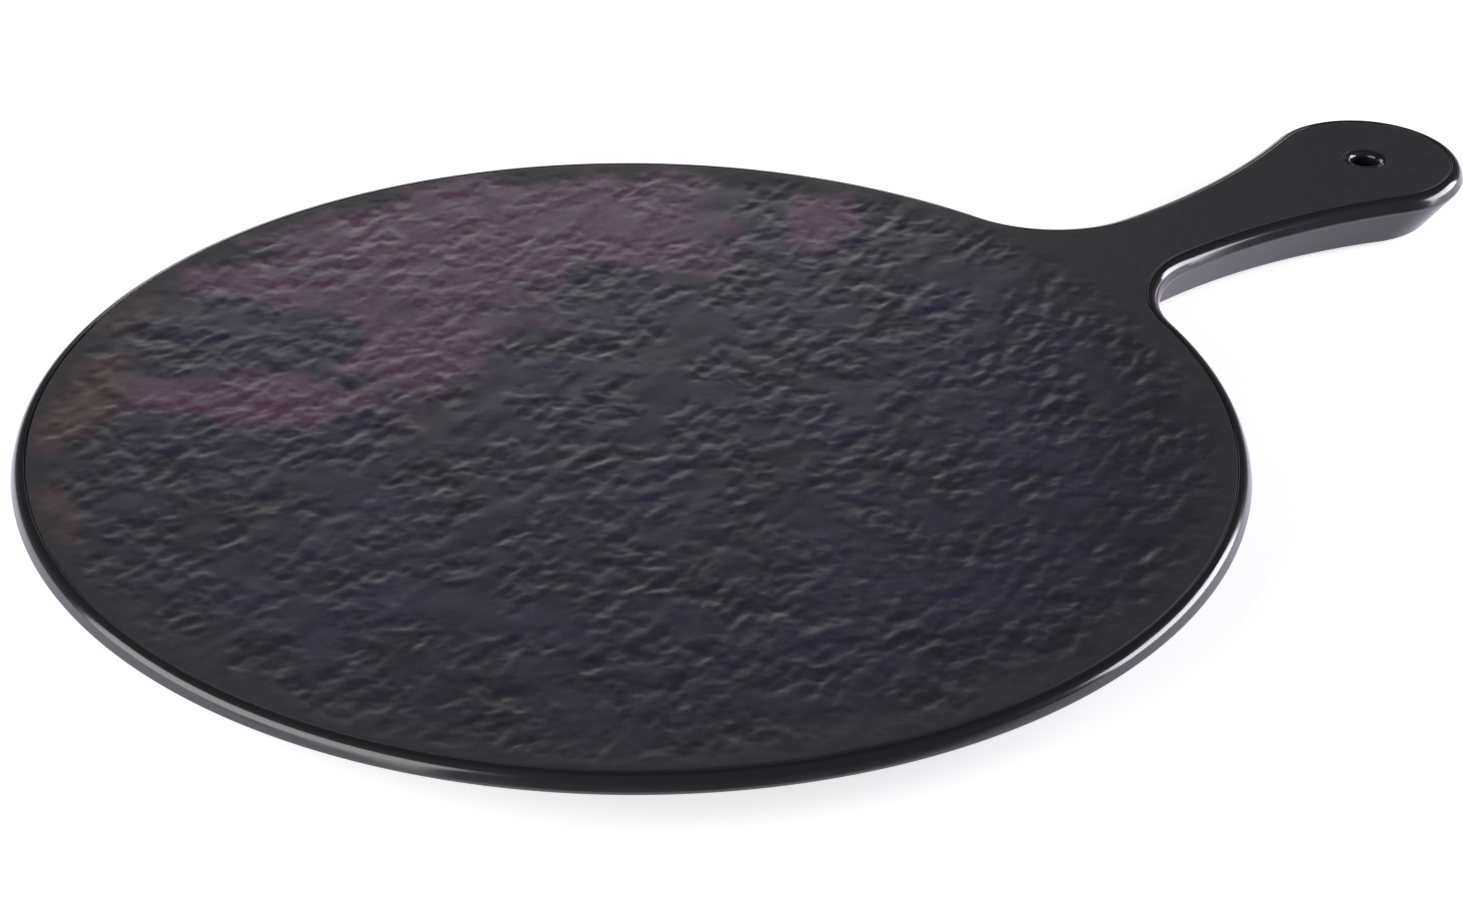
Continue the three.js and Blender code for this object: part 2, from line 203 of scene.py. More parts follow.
class SlateRelief(bpy.types.PropertyGroup):
    """Sizes of the riven relief that is pressed into the slate face."""

    depth: length("Relief depth", "Full depth, of which the deepest ledges reach about two thirds", 1.02 * MM)
    ledge_length: length("Ledge length", "Length of the ledges along the grain", 17.5 * MM)
    ledge_pitch: length("Ledge pitch", "Spacing of the ledges across the grain", 9.2 * MM)
    ledges: IntProperty(name="Ledges", description="Levels that the slate splits into", default=5, min=1)
    wander: length("Wander", "How far the ledges wander from straight", 9 * MM)
    border: length("Smooth border", "Width over which the relief fades towards the rim", 5 * MM)
    settle: length("Settle", "Width over which the face sinks from the rim to the relief's mean level", 12 * MM)
    slant: FloatProperty(
        name="Slant", description="Turn of the grain from the handle", default=math.radians(30), subtype="ANGLE")
    seed: IntProperty(name="Seed", description="Which of the random surfaces is pressed", default=7, min=0)


class PlatterColours(bpy.types.PropertyGroup):
    """Colours of the finishes."""

    melamine: colour("Melamine", "Black of the moulded board", "#28272a")
    slate_grey: colour("Slate grey", "Neutral ground of the slate face", "#2b2932")
    slate_blue: colour("Slate blue", "Blue-violet tint in the slate face", "#2f2c42")
    mauve: colour("Mauve", "Purple slate patches", "#5a3e55")
    russet: colour("Russet", "Rust-brown spots near the rim", "#4a373b")
    border: colour("Border", "Plain border and handle of the slate face", "#2d2c2f")
    silicone: colour("Silicone", "Black of the feet", "#242425")


class PlatterStudio(bpy.types.PropertyGroup):
    """Camera and light of the plain studio."""

    camera_place: FloatVectorProperty(
        name="Camera", description="Where the camera stands", default=(-0.5939, -0.6993, 0.5138), unit="LENGTH")
    camera_aim: FloatVectorProperty(
        name="Aim", description="The point in the picture's middle", default=(-0.0551, -0.0259, 0.0135),
        unit="LENGTH")
    camera_roll: FloatProperty(
        name="Roll", description="Turn of the camera about its axis", default=math.radians(1), subtype="ANGLE")
    camera_lens: FloatProperty(
        name="Lens", description="Focal length for a sensor 36 mm wide", default=102.08, unit="CAMERA")
    floor_width: length("Floor width", "Side of the pale floor", 12)
    floor_colour: colour("Floor", "Pale floor", "#e6e6e6")
    floor_lift: FloatProperty(
        name="Floor lift", description="White added to the floor as the camera sees it", default=0.7, min=0, max=1)
    floor_gleam: colour("Floor gleam", "Cool light added to the floor in glossy surfaces", "#f0ebff")
    backdrop_colour: colour("Backdrop", "Grey low backdrop behind the platter", "#6c6c6c")
    room_colour: colour("Room", "Dim room above the backdrop", "#242425")
    front_colour: colour("Front", "Dim front of the room, behind the camera", "#5c5c5e")


# Plan outlines, each a closed ring of points, counter-clockwise from above

def half_length(plan):
    return (plan.disc_diameter + plan.handle_length) / 2


def disc_centre(plan):
    return np.array((plan.disc_diameter / 2 - half_length(plan), 0.0))


def bulb_centre(plan):
    return np.array((half_length(plan) - plan.bulb_width / 2, 0.0))


def ring_middle(plan, section):
    return plan.disc_diameter / 2 - section.ring_from_rim - section.ring_width / 2


def bearing(start, end):
    return math.atan2(end[1] - start[1], end[0] - start[0])


def arc(centre, radius, start, end, steps):
    """Points along an arc, without its last one."""
    angles = np.linspace(start, end, steps, endpoint=False)
    return centre + radius * np.column_stack((np.cos(angles), np.sin(angles)))


def circles_meet(first, first_radius, second, second_radius):
    """Where two circles meet, on the right-hand side seen from the first centre to the second."""
    span = math.dist(first, second)
    along = (first_radius ** 2 - second_radius ** 2 + span ** 2) / (2 * span)
    aside = math.sqrt(first_radius ** 2 - along ** 2)
    forward = (second - first) / span
    right = np.array((forward[1], -forward[0]))
    return first + along * forward + aside * right


def joined_mirrored(half, last):
    """A ring from its left half, which starts on the middle line, and its last point on that line."""
    half = np.vstack((half, [last]))
    return np.vstack((half, half[-2:0:-1] * (1, -1)))


def handle_side(plan, neck, bulb, tip):
    """The handle's left side: a waist arc, narrowest at the neck and tangent to the round end."""
    end_centre = np.array((tip - bulb, 0.0))
    neck_x = disc_centre(plan)[0] + plan.disc_diameter / 2 + plan.neck_from_rim
    waist = ((end_centre[0] - neck_x) ** 2 / (bulb - neck) - bulb - neck) / 2
    waist_centre = np.array((neck_x, neck + waist))
    return end_centre, waist_centre, waist, bearing(end_centre, waist_centre)


def fillet_place(plan, waist_centre, waist):
    """Middle of the fillet between disc and waist, and its bearings from the waist's middle and the disc's."""
    centre, reach = disc_centre(plan), plan.disc_diameter / 2 + plan.neck_fillet
    middle = circles_meet(centre, reach, waist_centre, waist - plan.neck_fillet)
    return middle, bearing(waist_centre, middle), bearing(centre, middle)


def paddle_ring(plan, inset):
    """The whole paddle, drawn in by inset."""
    centre, radius, bulb = disc_centre(plan), plan.disc_diameter / 2, plan.bulb_width / 2
    end_centre, waist_centre, waist, leaves = handle_side(plan, plan.neck_width / 2, bulb, half_length(plan))
    fillet_centre, to_fillet, to_disc = fillet_place(plan, waist_centre, waist)
    arcs = (
        (end_centre, bulb, -inset, 0, leaves),
        (waist_centre, waist, inset, leaves - math.pi, to_fillet),
        (fillet_centre, plan.neck_fillet, inset, to_fillet, to_disc - math.pi),
        (centre, radius, -inset, to_disc, math.pi),
    )
    half = [
        arc(middle, size + grown, start, end, math.ceil(abs(end - start) * size / OUTLINE_SPACING))
        for middle, size, grown, start, end in arcs
    ]
    return joined_mirrored(np.vstack(half), centre - (radius - inset, 0))


def keel_ring(plan, section, share, inset):
    """The keel's outline at a share of its way down, drawn in by inset, up to the foot ring's middle."""
    def drawn_in(taper):
        return section.keel_setback + (taper - section.keel_setback) * share + inset

    neck = plan.neck_width / 2 - drawn_in(section.keel_neck_taper)
    bulb = plan.bulb_width / 2 - drawn_in(section.keel_bulb_taper)
    tip = half_length(plan) - drawn_in(section.keel_tip_setback)
    end_centre, waist_centre, waist, leaves = handle_side(plan, neck, bulb, tip)
    centre, middle = disc_centre(plan), ring_middle(plan, section)
    start = circles_meet(centre, middle, waist_centre, waist)
    half = [
        arc(end_centre, bulb, 0, leaves, KEEL_BULB_STEPS),
        arc(waist_centre, waist, leaves - math.pi, bearing(waist_centre, start), KEEL_WAIST_STEPS),
        arc(centre, middle, bearing(centre, start), 0, KEEL_END_STEPS),
    ]
    return joined_mirrored(np.vstack(half), centre + (middle, 0))


# Solids

def quarter(radius):
    """A quarter round as (across, up) pairs, from its side (radius, 0) to its top (0, radius)."""
    angles = np.linspace(0, math.pi / 2, ROUND_STEPS + 1)
    return radius * np.column_stack((np.cos(angles), np.sin(angles)))


def at_height(ring, z):
    return np.column_stack((ring, np.full(len(ring), z)))


def made_object(name, builder):
    """A new object in the scene from a bmesh, with doubles merged and faces pointing out."""
    bmesh.ops.remove_doubles(builder, verts=builder.verts, dist=MERGE)
    bmesh.ops.recalc_face_normals(builder, faces=builder.faces)
    mesh = bpy.data.meshes.new(name)
    builder.to_mesh(mesh)
    builder.free()
    made = bpy.data.objects.new(name, mesh)
    bpy.context.scene.collection.objects.link(made)
    return made


def add_skin(builder, rings, wrapped=False):
    """Adds quads between equal rings of points, and from the last ring to the first if wrapped."""
    rows = [[builder.verts.new(p) for p in ring] for ring in rings]
    pairs = list(zip(rows, rows[1:])) + ([(rows[-1], rows[0])] if wrapped else [])
    for upper, lower in pairs:
        for i in range(len(upper)):
            builder.faces.new((upper[i - 1], lower[i - 1], lower[i], upper[i]))
    return rows


def lofted(name, rings):
    """A closed solid through rings of points, listed from its top cap to its bottom cap."""
    builder = bmesh.new()
    rows = add_skin(builder, rings)
    builder.faces.new(rows[0])
    builder.faces.new(rows[-1][::-1])
    return made_object(name, builder)


def turned(name, profile, centre, steps=TURN_STEPS, wrapped=False):
    """A solid turned about the upright axis through centre, from (radius, height) pairs."""
    builder = bmesh.new()
    add_skin(builder, [
        at_height(arc(np.array(centre), radius, 0, 2 * math.pi, steps), z) for radius, z in profile
    ], wrapped)
    return made_object(name, builder)


def bake(piece):
    """Makes the piece's modifiers part of its mesh."""
    finished = piece.evaluated_get(bpy.context.evaluated_depsgraph_get())
    mesh = bpy.data.meshes.new_from_object(finished)
    piece.modifiers.clear()
    piece.data = mesh


def combine(body, tools, operation):
    """Joins tool solids to body or cuts them from it, merges the doubles that this leaves, and removes the tools."""
    for tool in tools:
        modifier = body.modifiers.new("combine", "BOOLEAN")
        modifier.operation = operation
        modifier.solver = "MANIFOLD"
        modifier.object = tool
    body.modifiers.new("merge doubles", "WELD").merge_threshold = MERGE
    bake(body)
    for tool in tools:
        bpy.data.objects.remove(tool)


def finish_piece(piece, material, slot, *nodes):
    """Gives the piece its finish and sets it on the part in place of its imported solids."""
    piece.data.materials.clear()
    piece.data.materials.append(material)
    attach(piece, "root")
    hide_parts(*nodes)


# Board

def underside(section):
    return section.height - section.rim_thickness


def recess_floor(section):
    return section.height - section.recess_depth


def foot_seat(section):
    return section.table_gap + section.foot_seat_depth


def collar_radius(section):
    return section.hole_diameter / 2 + section.hole_lip_round + section.rim_lip


def recess_inset(section):
    """From the rim's outermost line to the recess, and the middle of the rim's top round before it."""
    lean, top, low = section.rim_draft, section.rim_top_round, section.rim_lower_round
    rise = section.rim_thickness - (top + low) + (top - low) * math.sin(lean)
    middle = low * (1 - math.cos(lean)) + rise * math.tan(lean) + top * math.cos(lean)
    return middle + section.rim_lip, middle


def face_inset(section):
    return recess_inset(section)[0] + section.face_clearance


def rim_profile(section):
    """The rim's section as (inset, height) pairs, from the recess floor over the lip to the underside."""
    inset, middle = recess_inset(section)
    top, low, lean = section.rim_top_round, section.rim_lower_round, section.rim_draft
    edge, under = section.groove_round, underside(section)
    pairs = [(inset, recess_floor(section))]
    pairs += [(inset - edge + x, section.height - edge + y) for x, y in quarter(edge)]
    for angle in np.linspace(math.pi / 2, lean, ROUND_STEPS + 1):
        pairs.append((middle - top * math.cos(angle), section.height - top * (1 - math.sin(angle))))
    for angle in (lean, *np.linspace(0, -math.pi / 2, ROUND_STEPS + 1)):
        pairs.append((low * (1 - math.cos(angle)), under + low * (1 + math.sin(angle))))
    return pairs


def flank(section):
    """Side of a standing wall as (outward, height) pairs, from its sole to just inside the underside."""
    edge, root, lean = section.edge_round, section.root_fillet, section.flank_draft
    under = underside(section)
    pairs = [(x - edge, section.table_gap + edge - y) for x, y in quarter(edge)[::-1]]
    pairs += [(lean + root - x, under - root + y) for x, y in quarter(root)]
    return pairs + [(lean + root, under + OVERLAP)]


def foot_ring(plan, section):
    outer = plan.disc_diameter / 2 - section.ring_from_rim
    inner = outer - section.ring_width
    side = flank(section)
    profile = [(outer + out, z) for out, z in side] + [(inner - out, z) for out, z in side[::-1]]
    return turned("ring", profile, disc_centre(plan), RING_STEPS, wrapped=True)


def boss(section, radius, centre):
    side = [(radius + out, z) for out, z in flank(section)]
    return turned("boss", [(0, side[0][1]), *side, (0, side[-1][1])], centre)


def keel(plan, section):
    """The hollow keel under the handle, whose flanks lean in from the rim to its sole."""
    under, gap, edge = underside(section), section.table_gap, section.edge_round
    rings = [at_height(keel_ring(plan, section, 0, 0), under + OVERLAP)]
    for x, y in [(edge, under - gap - edge), *[(x, -y) for x, y in quarter(edge)]]:
        z = gap + edge + y
        share = (under - z) / (under - gap)
        rings.append(at_height(keel_ring(plan, section, share, edge - x), z))
    return lofted("keel", rings)


def keel_channel(plan, section):
    """The hollow inside the keel, with a rounded root and a rounded mouth."""
    under, gap = underside(section), section.table_gap
    edge, root, lean = section.edge_round, section.root_fillet, section.flank_draft
    pairs = [(lean + root - x, under - root + y) for x, y in quarter(root)[::-1]]
    pairs += [(x - edge, gap + edge - y) for x, y in quarter(edge)]
    pairs.append((-edge, gap - OVERLAP))
    return lofted("channel", [
        at_height(keel_ring(plan, section, 1, section.keel_wall + inward), z) for inward, z in pairs
    ])


def collar(plan, section):
    """The board's own lip round the hanging hole, level with the face."""
    edge, radius = section.groove_round, collar_radius(section)
    floor = recess_floor(section) - OVERLAP
    rounded = [(radius - edge + x, section.height - edge + y) for x, y in quarter(edge)]
    return turned("collar", [(0, floor), (radius, floor), *rounded, (0, section.height)], bulb_centre(plan))


def hanging_hole(plan, section):
    """The bore with its two rounded lips."""
    bore, lip, gap = section.hole_diameter / 2, section.hole_lip_round, section.table_gap
    flare = [(bore + lip - x, lip - y) for x, y in quarter(lip)]
    lower = [(radius, gap + depth) for radius, depth in flare[::-1]]
    upper = [(radius, section.height - depth) for radius, depth in flare]
    low, high = gap - OVERLAP, section.height + OVERLAP
    profile = [(0, low), (bore + lip, low), *lower, *upper, (bore + lip, high), (0, high)]
    return turned("hole", profile, bulb_centre(plan))


def foot_socket(section, centre):
    """Counterbore and blind hole for one foot."""
    head = section.foot_diameter / 2 + section.foot_clearance
    stem = section.foot_stem_diameter / 2 + section.foot_clearance
    seat = foot_seat(section)
    end = seat + section.foot_stem_length + section.foot_clearance
    low = section.table_gap - OVERLAP
    return turned("socket", [(0, low), (head, low), (head, seat), (stem, seat), (stem, end), (0, end)], centre)


def foot_centres():
    """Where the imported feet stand, by node."""
    return {node: sum(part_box(node), Vector()).xy / 2 for node in FOOT_NODES}


class PLATTER_OT_board(bpy.types.Operator):
    """Makes the black moulded board"""

    bl_idname = "platter.board"
    bl_label = "Make the melamine board"

    def execute(self, context):
        plan, section = context.scene.platter_plan, context.scene.platter_section
        board = lofted("moulded_board", [
            at_height(paddle_ring(plan, inset), z) for inset, z in rim_profile(section)
        ])
        handle = keel(plan, section)
        combine(handle, [keel_channel(plan, section)], "DIFFERENCE")
        hole_wall = section.hole_diameter / 2 + section.hole_boss_wall
        foot_wall = section.foot_diameter / 2 + section.foot_clearance + section.foot_boss_wall
        centres = foot_centres().values()
        standing = [foot_ring(plan, section), handle, boss(section, hole_wall, bulb_centre(plan))]
        standing += [boss(section, foot_wall, centre) for centre in centres]
        combine(board, [*standing, collar(plan, section)], "UNION")
        sockets = [foot_socket(section, centre) for centre in centres]
        combine(board, [*sockets, hanging_hole(plan, section)], "DIFFERENCE")
        board.data.shade_smooth()
        board.data.set_sharp_from_angle(angle=SHARP_ANGLE)
        board.modifiers.new("flat faces lead", "WEIGHTED_NORMAL").keep_sharp = True
        bake(board)
        finish_piece(board, black_melamine(context.scene.platter_colours), "black_melamine", "melamine_board")
        return {"FINISHED"}


# Slate face

def lattice(low, high, spacing):
    """Points of an even triangular lattice over a box."""
    columns = np.arange(low[0], high[0], spacing)
    rows = np.arange(low[1], high[1], spacing * math.sqrt(3) / 2)
    shift = np.resize((0, spacing / 2), len(rows))
    return np.vstack([
        np.column_stack((columns + aside, np.full(len(columns), y))) for y, aside in zip(rows, shift)
    ])


def inside_paddle(plan, points, inset):
    """Which points lie within the paddle outline drawn in by inset."""
    centre, radius, bulb, fillet = disc_centre(plan), plan.disc_diameter / 2, plan.bulb_width / 2, plan.neck_fillet
    end_centre, waist_centre, waist, leaves = handle_side(plan, plan.neck_width / 2, bulb, half_length(plan))
    fillet_centre, to_fillet, to_disc = fillet_place(plan, waist_centre, waist)
    meets_waist = fillet_centre[0] + fillet * math.cos(to_fillet)
    meets_disc = centre[0] + radius * math.cos(to_disc)
    meets_end = end_centre[0] + bulb * math.cos(leaves)
    x, y = points[:, 0], np.abs(points[:, 1])

    def beside(middle, size):
        return middle[1] - np.sqrt(np.clip((size + inset) ** 2 - (x - middle[0]) ** 2, 0, None))

    handle = np.where(x < meets_waist, beside(fillet_centre, fillet), beside(waist_centre, waist))
    on_handle = (x > meets_disc) & (x < meets_end) & (y < handle)
    on_disc = np.hypot(x - centre[0], y) < radius - inset
    on_end = np.hypot(x - end_centre[0], y) < bulb - inset
    return on_handle | on_disc | on_end


def add_sheet(builder, outer, eye, inner, z):
    """Adds a flat sheet of triangles between the outer ring and the eye's ring, through inner points."""
    edges = [(i, (i + 1) % len(outer)) for i in range(len(outer))]
    edges += [(len(outer) + i, len(outer) + (i + 1) % len(eye)) for i in range(len(eye))]
    points, _, triangles, *_ = delaunay_2d_cdt(
        [Vector(p) for p in np.vstack((outer, eye, inner))], edges, [], 1, MERGE)
    centre = Vector(eye.mean(0))
    radius = math.dist(eye[0], centre)
    verts = [builder.verts.new((*p, z)) for p in points]
    for corners in triangles:
        middle = sum((points[i] for i in corners), Vector((0, 0))) / 3
        if (middle - centre).length > radius:
            builder.faces.new([verts[i] for i in corners])


def slate_blank(plan, section):
    """The face before pressing: a closed sheet with rounded edges and an even mesh on its top."""
    edge, inset, floor = section.groove_round, face_inset(section), recess_floor(section)
    hole = collar_radius(section) + section.face_clearance
    steps = math.ceil(2 * math.pi * hole / OUTLINE_SPACING)
    centre = bulb_centre(plan)

    def eye(radius):
        return arc(centre, radius, 0, 2 * math.pi, steps)

    pairs = [(edge - x, section.height - edge + y) for x, y in quarter(edge)[::-1]] + [(0, floor)]
    builder = bmesh.new()
    add_skin(builder, [at_height(paddle_ring(plan, inset + inward), z) for inward, z in pairs])
    add_skin(builder, [at_height(eye(hole + outward), z) for outward, z in pairs])
    inner = lattice((-half_length(plan), -plan.disc_diameter / 2), (half_length(plan), plan.disc_diameter / 2),
                    FACE_SPACING)
    inner = inner[inside_paddle(plan, inner, inset + edge + FACE_SPACING / 2)]
    inner = inner[np.hypot(*(inner - centre).T) > hole + edge + FACE_SPACING / 2]
    add_sheet(builder, paddle_ring(plan, inset + edge), eye(hole + edge), inner, section.height)
    add_sheet(builder, paddle_ring(plan, inset), eye(hole), np.empty((0, 2)), floor)
    return made_object("slate_blank", builder)


# Nodes

def add(tree, kind, inputs=None, **settings):
    """Adds a node with its settings; inputs gives sockets, by name or number, a value or an output's link."""
    made = tree.nodes.new(kind)
    for name, value in settings.items():
        setattr(made, name, value)
    for key, value in (inputs or {}).items():
        if isinstance(value, bpy.types.NodeSocket):
            tree.links.new(value, made.inputs[key])
        else:
            made.inputs[key].default_value = value
    return made


def reckon(tree, operation, *values):
    return add(tree, "ShaderNodeMath", dict(enumerate(values)), operation=operation).outputs[0]


def vector(tree, operation, *values, result="Vector"):
    return add(tree, "ShaderNodeVectorMath", dict(enumerate(values)), operation=operation).outputs[result]


def mapped(tree, value, source=(0, 1), target=(0, 1), shape="LINEAR"):
    """The value carried from one range to another, and held within it."""
    return add(tree, "ShaderNodeMapRange", {
        "Value": value, "From Min": source[0], "From Max": source[1], "To Min": target[0], "To Max": target[1],
    }, interpolation_type=shape).outputs[0]


def eased(tree, value, source, target=(0, 1)):
    """As mapped, with soft ends."""
    return mapped(tree, value, source, target, "SMOOTHSTEP")


def noise(tree, where, scale, detail, seed=None, roughness=0.5):
    """Outputs of a noise; a seed picks one of many."""
    inputs = {"Vector": where, "Scale": scale, "Detail": detail, "Roughness": roughness}
    if seed is None:
        return add(tree, "ShaderNodeTexNoise", inputs).outputs
    return add(tree, "ShaderNodeTexNoise", {**inputs, "W": seed}, noise_dimensions="4D").outputs


def blend(tree, share, *pair, **settings):
    """Two colours, each a plain one or an output, mixed by share."""
    first, second = (tone if isinstance(tone, bpy.types.NodeSocket) else (*tone, 1) for tone in pair)
    return add(tree, "ShaderNodeMix", {0: share, 6: first, 7: second}, data_type="RGBA", **settings).outputs[2]


def node_tree(name, sockets):
    """A Geometry Nodes tree with the named inputs and one geometry output, and the inputs to link from."""
    tree = bpy.data.node_groups.new(name, "GeometryNodeTree")
    for label, kind in sockets.items():
        tree.interface.new_socket(label, in_out="INPUT", socket_type="NodeSocket" + kind)
    tree.interface.new_socket("Geometry", in_out="OUTPUT", socket_type="NodeSocketGeometry")
    return tree, add(tree, "NodeGroupInput").outputs


def end_tree(tree, geometry, material):
    """Ends a tree: real geometry, smooth, with its material."""
    real = add(tree, "GeometryNodeRealizeInstances", {0: geometry})
    smooth = add(tree, "GeometryNodeSetShadeSmooth", {0: real.outputs[0]})
    finished = add(tree, "GeometryNodeSetMaterial", {"Geometry": smooth.outputs[0], "Material": material})
    add(tree, "NodeGroupOutput", {0: finished.outputs[0]})


def grown(blank, tree, values, name):
    """Turns blank into a plain mesh of what the tree makes of it, under a new name."""
    modifier = blank.modifiers.new(tree.name, "NODES")
    modifier.node_group = tree
    for item in tree.interface.items_tree:
        if item.in_out == "INPUT" and item.name in values:
            modifier[item.identifier] = values[item.name]
    bake(blank)
    blank.name = name
    blank.data.name = name
    return blank


# Relief of the slate face

def relief_tree():
    """Riven slate: a rolling ground, chipped into ledges in places, fading towards the rim."""
    tree, given = node_tree("Riven slate relief", {
        "Geometry": "Geometry", "Disc Centre": "Vector", "Disc Radius": "Float", "Depth": "Float",
        "Ledge Length": "Float", "Ledge Pitch": "Float", "Ledges": "Int", "Wander": "Float", "Border": "Float",
        "Settle": "Float", "Slant": "Float", "Seed": "Int", "Material": "Material",
    })
    seed, ledges = given["Seed"], given["Ledges"]
    place = add(tree, "GeometryNodeInputPosition").outputs[0]
    about = vector(tree, "SUBTRACT", place, given["Disc Centre"])
    turn = reckon(tree, "MULTIPLY", given["Slant"], -1)
    grain = add(tree, "ShaderNodeVectorRotate", {
        "Vector": about, "Angle": turn}, rotation_type="Z_AXIS").outputs[0]

    bends = vector(tree, "SUBTRACT", noise(tree, grain, 1 / BEND_SIZE, 3, seed)["Color"], (0.5, 0.5, 0.5))
    bends = add(tree, "ShaderNodeVectorMath", {0: bends, "Scale": given["Wander"]}, operation="SCALE").outputs[0]
    bent = vector(tree, "ADD", grain, bends)
    ledge = add(tree, "ShaderNodeCombineXYZ", {0: given["Ledge Length"], 1: given["Ledge Pitch"], 2: 1}).outputs[0]
    cells = vector(tree, "DIVIDE", bent, ledge)

    rolling = mapped(tree, noise(tree, cells, 1, 1, seed)[0], NOISE_RANGE, (0, ROLLING_SHARE))
    chips = noise(tree, cells, CHIPS_PER_LEDGE, 2, seed)[0]
    level = mapped(tree, chips, NOISE_RANGE, (0, ledges))
    edge = eased(tree, reckon(tree, "FRACT", level), LEDGE_EDGE)
    step = reckon(tree, "ADD", reckon(tree, "FLOOR", level), edge)
    step = reckon(tree, "SUBTRACT", reckon(tree, "DIVIDE", step, ledges), 0.5)
    patchy = noise(tree, about, 1 / SPLIT_SIZE, 2, seed)[0]
    split = eased(tree, patchy, SPLIT_RANGE, (0, 1 - ROLLING_SHARE))
    rough = reckon(tree, "MULTIPLY_ADD", step, split, rolling)
    rough = reckon(tree, "SUBTRACT", rough, ROLLING_SHARE / 2)

    out = vector(tree, "LENGTH", about, result="Value")
    to_rim = reckon(tree, "SUBTRACT", given["Disc Radius"], out)
    fade = eased(tree, to_rim, (0, given["Border"]))
    mean = eased(tree, to_rim, (0, given["Settle"]), (0, MEAN_SHARE))
    share = reckon(tree, "MAXIMUM", reckon(tree, "MULTIPLY_ADD", rough, fade, mean), 0)
    down = reckon(tree, "MULTIPLY", reckon(tree, "MULTIPLY", share, given["Depth"]), -1)
    offset = add(tree, "ShaderNodeCombineXYZ", {2: down}).outputs[0]
    pressed = add(tree, "GeometryNodeSetPosition", {"Geometry": given["Geometry"], "Offset": offset}).outputs[0]
    end_tree(tree, pressed, given["Material"])
    return tree


class PLATTER_OT_slate_face(bpy.types.Operator):
    """Makes the slate-look face and presses its riven relief"""

    bl_idname = "platter.slate_face"
    bl_label = "Make the slate face"

    def execute(self, context):
        scene = context.scene
        plan, section, relief = scene.platter_plan, scene.platter_section, scene.platter_relief
        inset = face_inset(section)
        material = slate_melamine(plan, scene.platter_colours)
        face = grown(slate_blank(plan, section), relief_tree(), {
            "Disc Centre": (*disc_centre(plan), 0), "Disc Radius": plan.disc_diameter / 2 - inset,
            "Depth": relief.depth, "Ledge Length": relief.ledge_length, "Ledge Pitch": relief.ledge_pitch,
            "Ledges": relief.ledges, "Wander": relief.wander, "Border": relief.border, "Settle": relief.settle,
            "Slant": relief.slant, "Seed": relief.seed, "Material": material,
        }, "pressed_slate_face")
        finish_piece(face, material, "slate_melamine", "slate_face")
        return {"FINISHED"}


# Feet

def foot_blank(section):
    """One foot on the origin: a flat head with a rounded lower edge, and a stem with a lead-in."""
    head, stem, edge = section.foot_diameter / 2, section.foot_stem_diameter / 2, section.foot_round
    seat = foot_seat(section)
    end = seat + section.foot_stem_length
    lower = [(head - edge + x, edge - y) for x, y in quarter(edge)[::-1]]
    lead = [(stem - edge + x, end - edge + y) for x, y in quarter(edge)]
    return turned("foot_blank", [(0, 0), *lower, (head, seat), (stem, seat), *lead, (0, end)], (0, 0))


def foot_tree():
    """One foot set at its seat."""
    tree, given = node_tree("Foot at its seat", {
        "Geometry": "Geometry", "Seat": "Vector", "Material": "Material"})
    seat = add(tree, "GeometryNodePoints", {"Count": 1, "Position": given["Seat"]}).outputs[0]
    placed = add(tree, "GeometryNodeInstanceOnPoints", {"Points": seat, "Instance": given["Geometry"]}).outputs[0]
    end_tree(tree, placed, given["Material"])
    return tree


class PLATTER_OT_feet(bpy.types.Operator):
    """Makes the four silicone feet"""

    bl_idname = "platter.feet"
    bl_label = "Make the silicone feet"

    def execute(self, context):
        tree = foot_tree()
        material = silicone(context.scene.platter_colours)
        for node, centre in foot_centres().items():
            blank = foot_blank(context.scene.platter_section)
            foot = grown(blank, tree, {"Seat": (*centre, 0), "Material": material}, "silicone_" + node)
            foot.data.set_sharp_from_angle(angle=SHARP_ANGLE)
            finish_piece(foot, material, "silicone", node)
        return {"FINISHED"}


# Finishes

def new_material(name):
    """An empty node material and its tree."""
    material = bpy.data.materials.new(name)
    material.use_nodes = True
    material.node_tree.nodes.clear()
    return material, material.node_tree


def black_melamine(colours):
    """Compression-moulded melamine from a polished mould: deep black, hard and glossy, with a faint
    orange-peel waviness and slightly uneven gloss, so that highlights have a soft living edge."""
    material, tree = new_material("Black melamine, polished moulding")
    where = add(tree, "ShaderNodeTexCoord").outputs["Object"]
    gloss = mapped(tree, noise(tree, where, 1 / (18 * MM), 3)[0], (0.3, 0.7), (0.12, 0.2))
    peel = noise(tree, where, 1 / (5 * MM), 1)[0]
    bump = add(tree, "ShaderNodeBump", {"Height": peel, "Strength": 0.25, "Distance": 0.03 * MM}).outputs[0]
    surface = add(tree, "ShaderNodeBsdfPrincipled", {
        "Base Color": (*colours.melamine, 1), "Roughness": gloss, "IOR": 1.65, "Normal": bump}).outputs[0]
    add(tree, "ShaderNodeOutputMaterial", {"Surface": surface})
    return material


def patch_mask(tree, where, ragged, plan, patches):
    """A soft-edged mask of ragged oval patches, given as millimetres from the disc's middle and a turn."""
    mask = 0.0
    for along, across, half_long, half_wide, turn in patches:
        middle = disc_centre(plan) + np.array((along, across)) * MM
        near = add(tree, "ShaderNodeMapping", {
            "Vector": where, "Location": (*middle, 0), "Rotation": (0, 0, math.radians(turn)),
            "Scale": (half_long * MM, half_wide * MM, 1)}, vector_type="TEXTURE").outputs[0]
        out = reckon(tree, "ADD", vector(tree, "LENGTH", near, result="Value"), ragged)
        mask = reckon(tree, "MAXIMUM", eased(tree, out, PATCH_EDGE), mask)
    return mask


